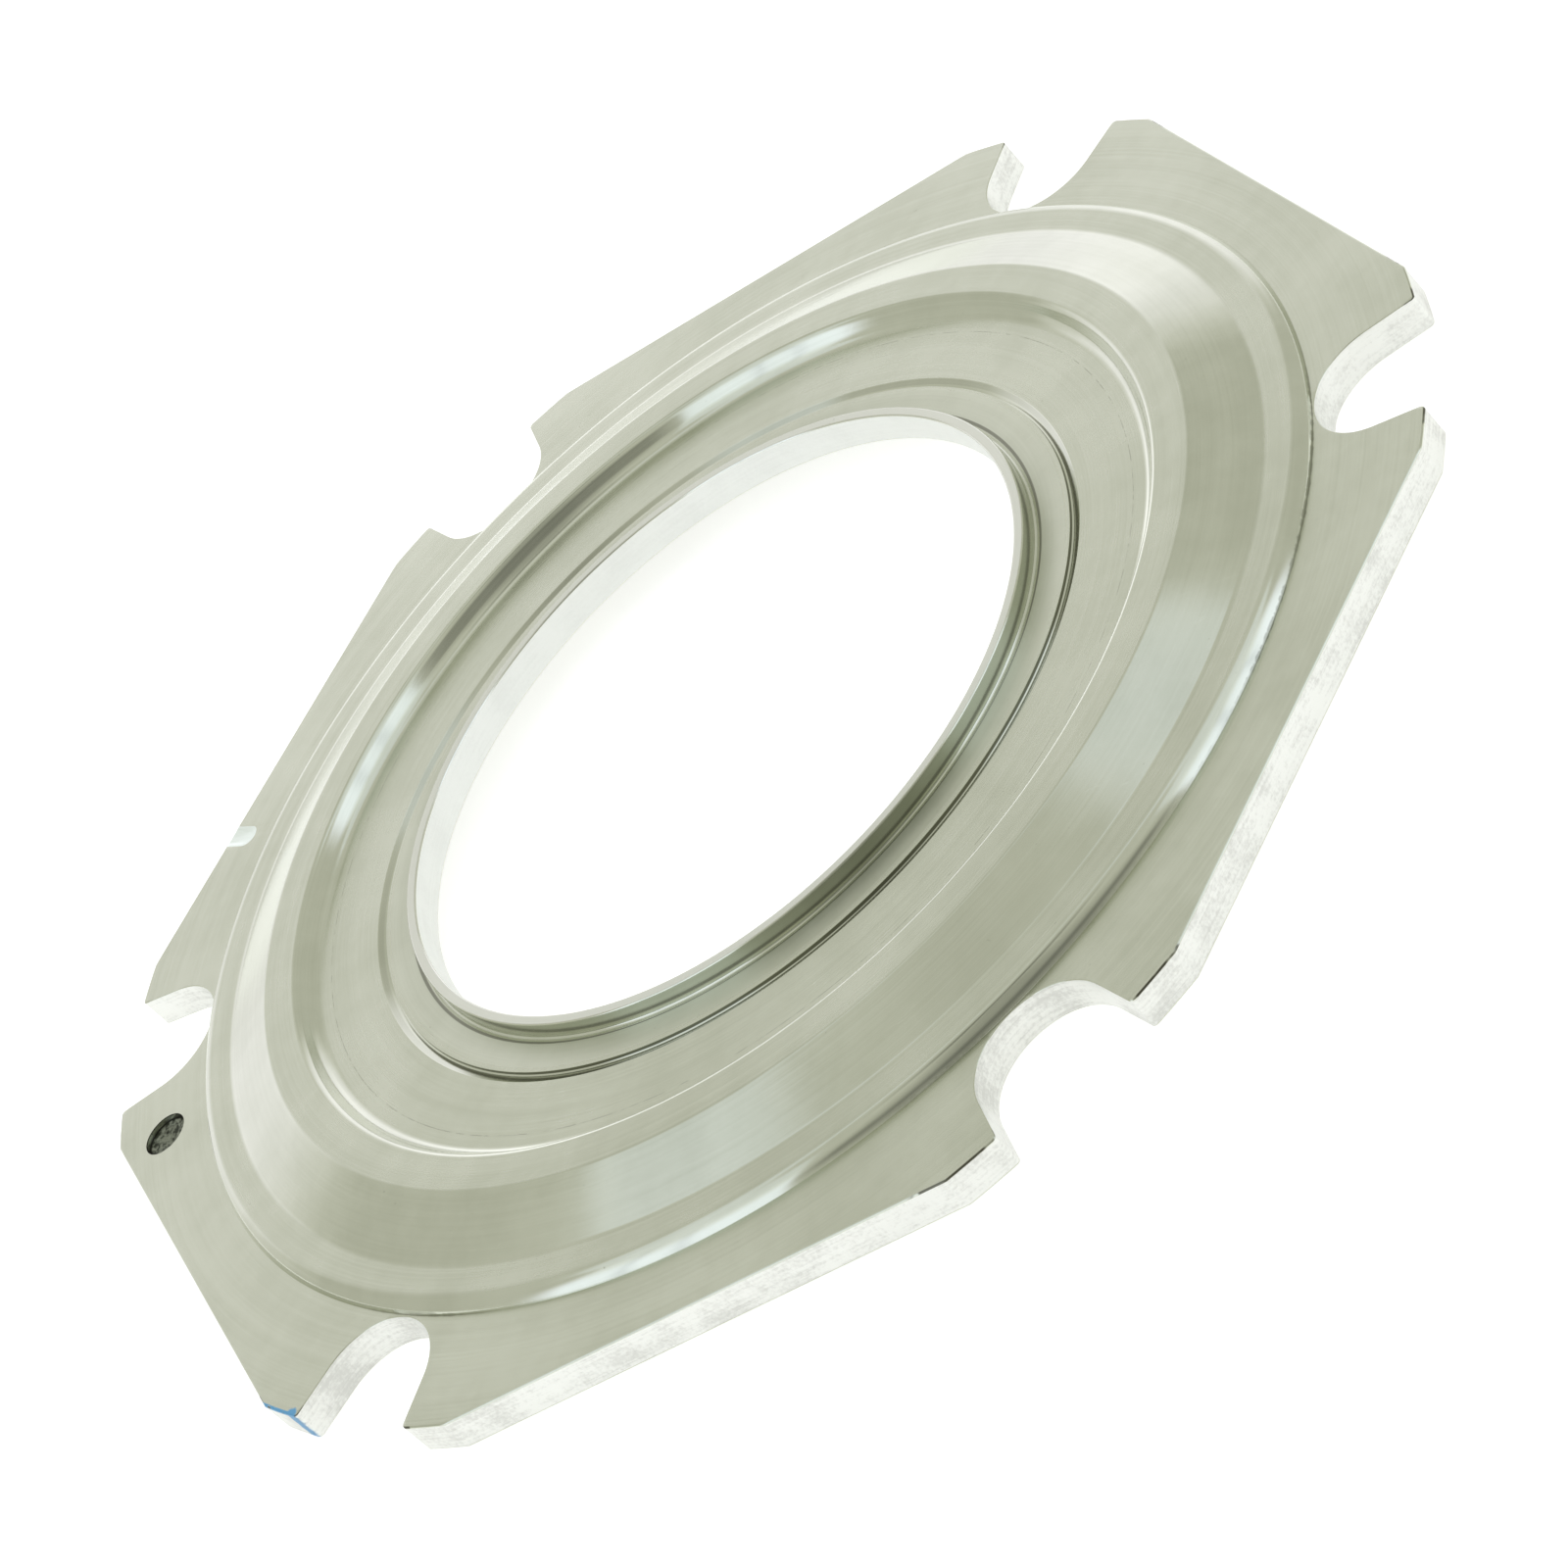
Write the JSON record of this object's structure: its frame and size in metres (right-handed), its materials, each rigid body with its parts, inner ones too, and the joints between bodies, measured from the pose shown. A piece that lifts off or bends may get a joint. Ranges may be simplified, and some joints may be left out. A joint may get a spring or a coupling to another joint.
{
  "type": "clutch pressure plate",
  "caption": "Machined steel clutch pressure plate: flat-sided flange with open drive notches, raised fulcrum ring, lipped centre bore and recessed friction face.",
  "frame": {"origin": "clutch axis at the friction face, which is the plate's lowest face", "axes": "+Z along the clutch axis towards the diaphragm spring; +X through the middle of a drive notch"},
  "size_m": [0.2386, 0.2252, 0.0115],
  "materials": {
    "machined_steel": "turned and ground bare steel, fine concentric tool lines, satin"
  },
  "bodies": {
    "root": {"pressure_plate": "machined_steel"}
  },
  "joints": []
}
